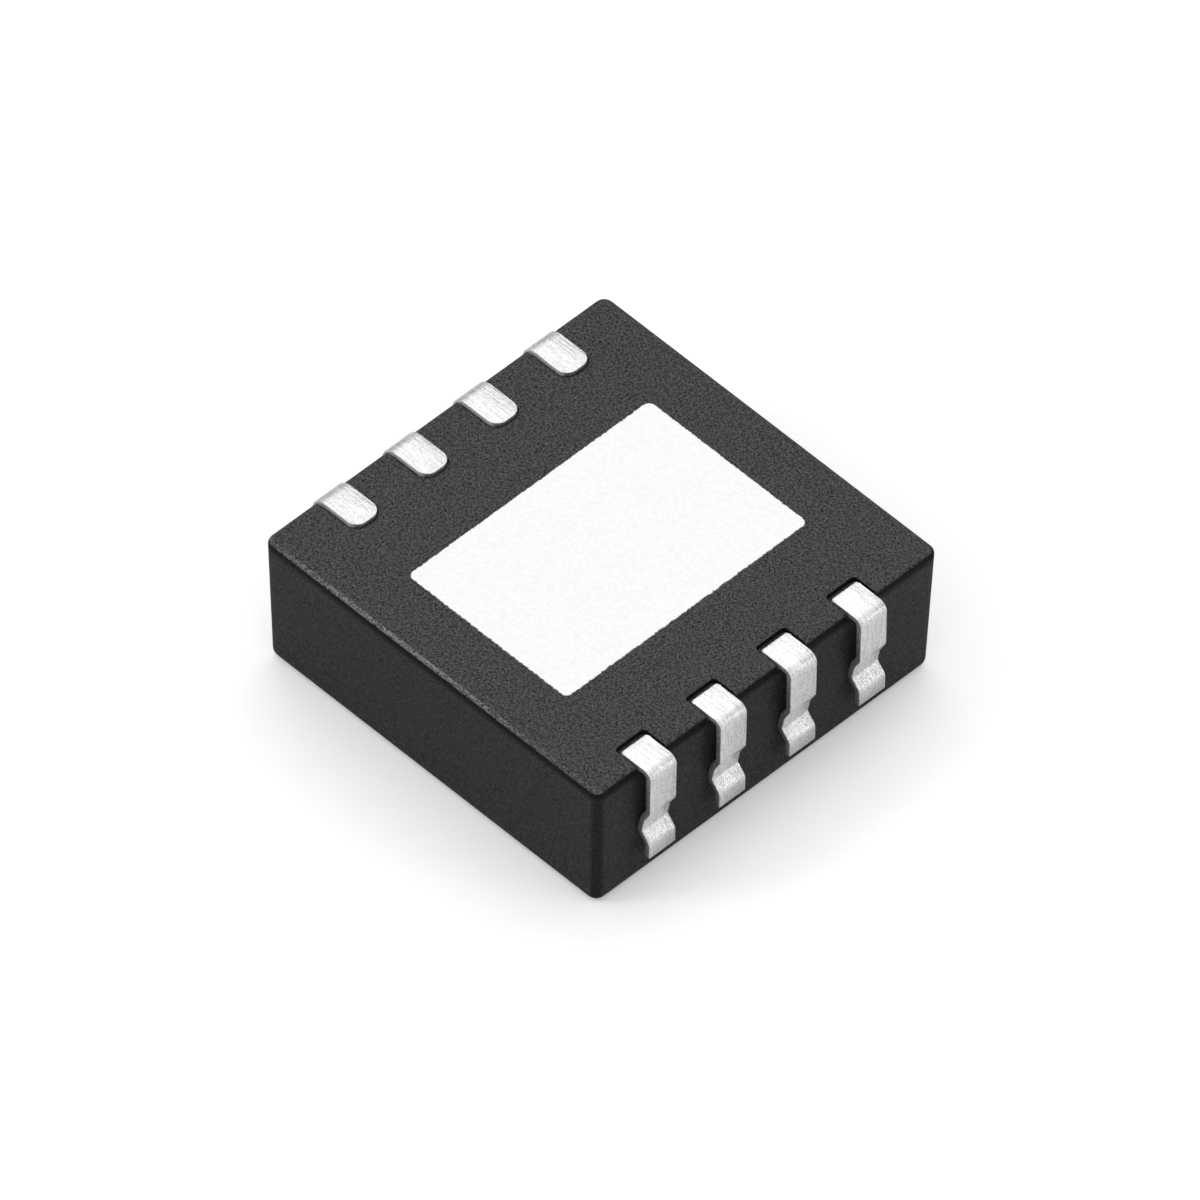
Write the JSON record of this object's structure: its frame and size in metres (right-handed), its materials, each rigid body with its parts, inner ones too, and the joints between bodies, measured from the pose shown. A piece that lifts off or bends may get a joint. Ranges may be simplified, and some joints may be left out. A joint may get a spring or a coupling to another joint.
{
  "type": "surface-mount chip package",
  "caption": "Square moulded chip with an exposed heat pad and formed leads folded over two opposite sides, lying soldering side up.",
  "frame": {"origin": "centre of the flat marking face that the chip lies on", "axes": "+Z out of the soldering side, towards the exposed pad; +X towards the row of pins 5 to 8, whose legs run down the side; +Y along the rows of leads, from pin 1 to pin 4"},
  "size_m": [0.0031, 0.003, 0.0011],
  "materials": {
    "mould_compound": "matte, fine grain",
    "tinned_copper": "satin tin plate",
    "silicon": "polished grey",
    "attach_solder": "dull solder",
    "gold_wire": "bright drawn wire"
  },
  "bodies": {
    "root": {"mould_body": "mould_compound", "die_paddle": "tinned_copper", "lead_1": "tinned_copper", "lead_2": "tinned_copper", "lead_3": "tinned_copper", "lead_4": "tinned_copper", "lead_5": "tinned_copper", "lead_6": "tinned_copper", "lead_7": "tinned_copper", "lead_8": "tinned_copper", "silicon_die": "silicon", "die_attach": "attach_solder", "bond_wire_1": "gold_wire", "bond_wire_2": "gold_wire", "bond_wire_3": "gold_wire", "bond_wire_4": "gold_wire", "bond_wire_5": "gold_wire", "bond_wire_6": "gold_wire", "bond_wire_7": "gold_wire", "bond_wire_8": "gold_wire"}
  },
  "joints": []
}
